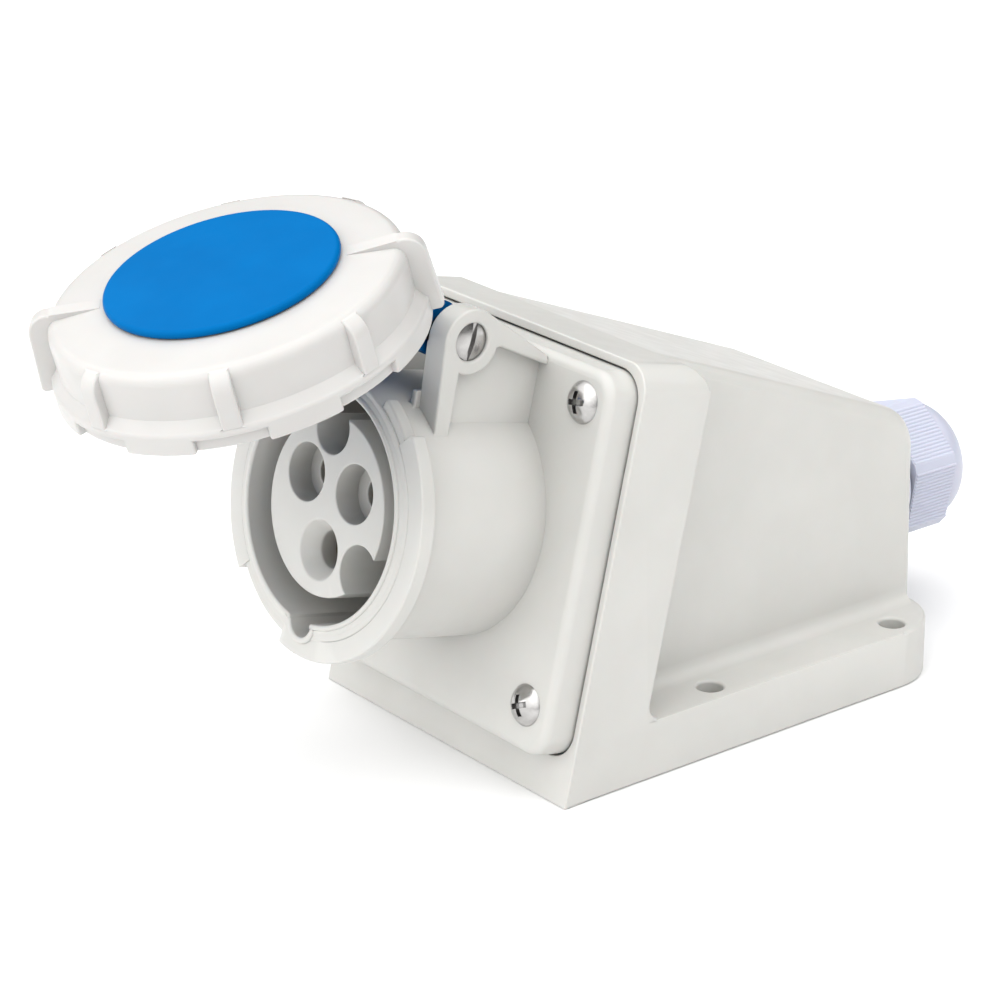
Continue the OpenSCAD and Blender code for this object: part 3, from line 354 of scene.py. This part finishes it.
def bevel(form, edges, width):
    bmesh.ops.bevel(form, geom=edges, offset=width, offset_type="OFFSET", segments=3, profile=0.5,
                    affect="EDGES", clamp_overlap=False, loop_slide=False)


def on_roof(face):
    """Whether a face of the box belongs to its sloped roof."""
    out = Vector((0, math.sin(ROOF_SLOPE), math.cos(ROOF_SLOPE)))
    off = face.normal.angle(out, math.pi)
    return off < ROOF_TOLERANCE and face.calc_center_median().y > ROOF_FROM_Y


def join_roof(form):
    """The long thin faces of the box's sloped roof become one face, which shades evenly."""
    form.normal_update()
    roof = {f for f in form.faces if on_roof(f)}
    inner = [e for e in form.edges if len(e.link_faces) == 2 and all(f in roof for f in e.link_faces)]
    bmesh.ops.dissolve_edges(form, edges=inner, use_verts=False)


def near_front(edge, low):
    """Whether an edge lies close behind the box's leaning front face."""
    foot = Vector((0, low[1], 0))
    out = Vector((0, -math.cos(FRONT_LEAN), math.sin(FRONT_LEAN)))
    return all((v.co - foot).dot(out) > -FRONT_DEPTH for v in edge.verts)


def round_box(form, width, low):
    """Rounds the box's edges, those near its front by less than the rest."""
    join_roof(form)
    front = [e for e in sharp_edges(form, FRONT_EDGE) if near_front(e, low)]
    bevel(form, front, FRONT_EDGE)
    rest = [e for e in sharp_edges(form, width) if not near_front(e, low)]
    bevel(form, rest, width)


def flatten_pin_head(form, low, high):
    """The pin's head becomes a flat disc at the depth of its slot, as wide as its recess."""
    axis = (Vector(low) + Vector(high)) / 2
    grow = PIN_HEAD_R / PIN_SOLID_R
    behind, before = 0.05 * MM, 0.005 * MM
    for v in form.verts:
        depth = high[0] - v.co.x
        if depth > PIN_HEAD_DEPTH + behind:
            continue
        if depth < PIN_HEAD_DEPTH - before:
            v.co.x = high[0] - PIN_SLOT_DEPTH
        if math.hypot(v.co.y - axis.y, v.co.z - axis.z) > PIN_RIM_FROM:
            v.co.y = axis.y + (v.co.y - axis.y) * grow
            v.co.z = axis.z + (v.co.z - axis.z) * grow


def soften(node, width):
    """A copy of a node whose sharp edges are rounded by this width, standing for the node."""
    low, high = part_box(node)
    form = weld(node, FLUSH.get(node, 0.0))
    if node == "wall_box":
        round_box(form, width, low)
    else:
        bevel(form, sharp_edges(form, width), width)
    if node == "hinge_pin":
        flatten_pin_head(form, low, high)
    else:
        for v in form.verts:
            v.co = [min(max(c, a), b) for c, a, b in zip(v.co, low, high)]
    piece = make_piece(node + "_soft", form, sharp_from=30)
    normals = piece.modifiers.new("normals", "WEIGHTED_NORMAL")
    normals.keep_sharp = True
    normals.weight = 60
    belong(piece, node)
    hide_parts(node)


for node, width in EDGES.items():
    soften(node, width)
for node, shown in NODES.items():
    if node not in EDGES:
        shown.data.materials.clear()
        shown.data.materials.append(finish_of(node))


# Head of the hinge pin

def quarter_wave(i, steps):
    """Shares of a whole that lie closer together towards its end."""
    return math.sin(i / steps * math.pi / 2)


def rim(rows):
    """The points round the outside of a grid of rows, in order."""
    ends = [row[-1] for row in rows[1:]]
    starts = [row[0] for row in rows[-2:0:-1]]
    return rows[0] + ends + rows[-1][-2::-1] + starts


def pin_dome():
    """The two domed halves of the pin's head on either side of its slot, and the slot's floor."""
    half_slot, rim_drop, sunk, proud = 0.7 * MM, 0.9 * MM, 0.2 * MM, 0.04 * MM
    lean = math.radians(20)
    row_steps, half_row, sides = 8, 10, 48
    columns = range(-half_row, half_row + 1)
    last = PIN_HEAD_R * 0.995
    low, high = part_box("hinge_pin")
    centre = Vector((high[0], (low[1] + high[1]) / 2, (low[2] + high[2]) / 2))
    inwards = Vector((-1, 0, 0))
    along = Vector((0, math.sin(lean), math.cos(lean)))
    across = Vector((0, math.cos(lean), -math.sin(lean)))
    form = bmesh.new()
    for side in (1, -1):
        tops, feet = [], []
        for i in range(row_steps + 1):
            away = half_slot + (last - half_slot) * quarter_wave(i, row_steps)
            reach = math.sqrt(PIN_HEAD_R ** 2 - away ** 2)
            middle = centre + across * side * away
            flat = [middle + along * reach * quarter_wave(j, half_row) for j in columns]
            drops = [rim_drop * ((p - centre).length / PIN_HEAD_R) ** 2 for p in flat]
            tops.append([form.verts.new(p + inwards * d) for p, d in zip(flat, drops)])
            feet.append([form.verts.new(p + inwards * (PIN_SLOT_DEPTH + sunk)) for p in flat])
        for rows in (tops, feet):
            for one, two in zip(rows, rows[1:]):
                for j in range(len(one) - 1):
                    form.faces.new((one[j], one[j + 1], two[j + 1], two[j]))
        bridge(form, rim(tops), rim(feet))
    floor = []
    for depth in (PIN_SLOT_DEPTH - proud, PIN_SLOT_DEPTH + 2 * sunk):
        turns = [2 * math.pi * j / sides for j in range(sides)]
        ring = [centre + (along * math.cos(a) + across * math.sin(a)) * last for a in turns]
        floor.append([form.verts.new(p + inwards * depth) for p in ring])
        form.faces.new(floor[-1])
    bridge(form, *floor)
    bmesh.ops.recalc_face_normals(form, faces=form.faces)
    belong(make_piece("hinge_pin_dome", form, sharp_from=40), "hinge_pin")


# Grip of the gland nut

def nut_ridges():
    """Fine grip ridges on the six flats of the gland nut, each flat a wavy strip let into the nut."""
    sides, turn = 6, math.radians(19.5)
    across_flats, flat_width, length = 35.4 * MM, 17.6 * MM, 15.0 * MM
    ridges, steps, crest_power = 16, 8, 0.7
    height, sunk, let_in, start = 0.32 * MM, 0.3 * MM, 0.02 * MM, 0.3 * MM
    low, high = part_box("gland_nut")
    middle = Vector((0, low[1] + start, (low[2] + high[2]) / 2))
    profile = []
    for i in range(ridges * steps + 1):
        share = i / (ridges * steps)
        rise = height * (0.5 - 0.5 * math.cos(2 * math.pi * ridges * share)) ** crest_power
        profile.append((across_flats / 2 + rise - let_in, share - 0.5))
    profile += [(across_flats / 2 - sunk, 0.5), (across_flats / 2 - sunk, -0.5)]
    form = bmesh.new()
    for side in range(sides):
        angle = turn + math.radians(360 / sides * (side + 0.5))
        out = Vector((math.cos(angle), 0, math.sin(angle)))
        across = Vector((-math.sin(angle), 0, math.cos(angle)))
        ends = []
        for y in (0, length):
            foot = middle + Vector((0, y, 0))
            points = [foot + out * reach + across * flat_width * share for reach, share in profile]
            ends.append([form.verts.new(p) for p in points])
        bridge(form, *ends)
        form.faces.new(ends[0][::-1])
        form.faces.new(ends[1])
    bmesh.ops.recalc_face_normals(form, faces=form.faces)
    belong(make_piece("gland_nut_ridges", form, sharp_from=60), "gland_nut")


pin_dome()
nut_ridges()


# Stage

def make_floor():
    """A wide pale floor with hardly seen clouds."""
    size, cloud_size = 40.0, 0.8
    dark, light = (0.84, 0.84, 0.84, 1), (0.86, 0.86, 0.86, 1)
    bpy.ops.mesh.primitive_plane_add(size=size, location=(0, 0, 0))
    floor = bpy.context.object
    floor.name = "floor"
    made, tree, shader, place = new_material("pale_floor", Roughness=0.9, Specular_IOR_Level=0.1)
    clouds = remap(tree, noise(tree, place, cloud_size, detail=2), WIDE)
    connect(tree, shader, Base_Color=mix(tree, clouds, dark, light))
    floor.data.materials.append(made)


def softbox(name, place, aim, size, power):
    light = bpy.data.lights.new(name, "AREA")
    light.shape = "RECTANGLE"
    light.size, light.size_y = size
    light.energy = power
    lamp = bpy.data.objects.new(name, light)
    bpy.context.scene.collection.objects.link(lamp)
    lamp.location = place
    lamp.rotation_euler = (Vector(aim) - Vector(place)).to_track_quat("-Z", "Y").to_euler()


def make_light():
    """A white studio: three soft glows, each a direction and a strength, and three softboxes."""
    above = ((0.15, -0.4, 0.904), 2.05)
    front_left = ((-0.5, -0.8, 0.33), 0.5)
    front_right = ((0.6, -0.7, 0.39), 0.1)
    world = bpy.data.worlds.new("studio")
    world.use_nodes = True
    tree = world.node_tree
    backdrop = tree.nodes["Background"]
    backdrop.inputs["Color"].default_value = (1, 1, 1, 1)
    way = add(tree, "ShaderNodeTexCoord").outputs["Generated"]
    glow = 0.0
    for aim, strength in (above, front_left, front_right):
        facing = add(tree, "ShaderNodeVectorMath", {0: way, 1: aim}, operation="DOT_PRODUCT")
        lobe = remap(tree, facing.outputs["Value"], (0, 1), (0, strength))
        glow = add(tree, "ShaderNodeMath", {0: glow, 1: lobe}, operation="ADD").outputs[0]
    tree.links.new(glow, backdrop.inputs["Strength"])
    bpy.context.scene.world = world
    middle = (0.0, -0.05, 0.06)
    softbox("overhead", place=(0.1, -0.15, 1.1), aim=middle, size=(1.1, 1.1), power=2.4)
    softbox("front_left", place=(-0.5, -1.2, 0.6), aim=middle, size=(0.7, 0.5), power=1.8)
    softbox("rear_right", place=(0.7, 0.5, 0.9), aim=middle, size=(0.9, 0.9), power=2.6)


def make_camera():
    """Camera at the photograph's angle, with its long lens."""
    place = Vector((630.31, -567.77, 380.26)) * MM
    aim = Vector((2.08, -68.59, 63.34)) * MM
    lens = bpy.data.cameras.new("camera")
    lens.sensor_width = 36
    lens.lens = 122.57
    camera = bpy.data.objects.new("camera", lens)
    bpy.context.scene.collection.objects.link(camera)
    camera.location = place
    camera.rotation_euler = (aim - place).to_track_quat("-Z", "Y").to_euler()
    bpy.context.scene.camera = camera


make_floor()
make_light()
make_camera()
bpy.context.scene.view_settings.view_transform = "Standard"
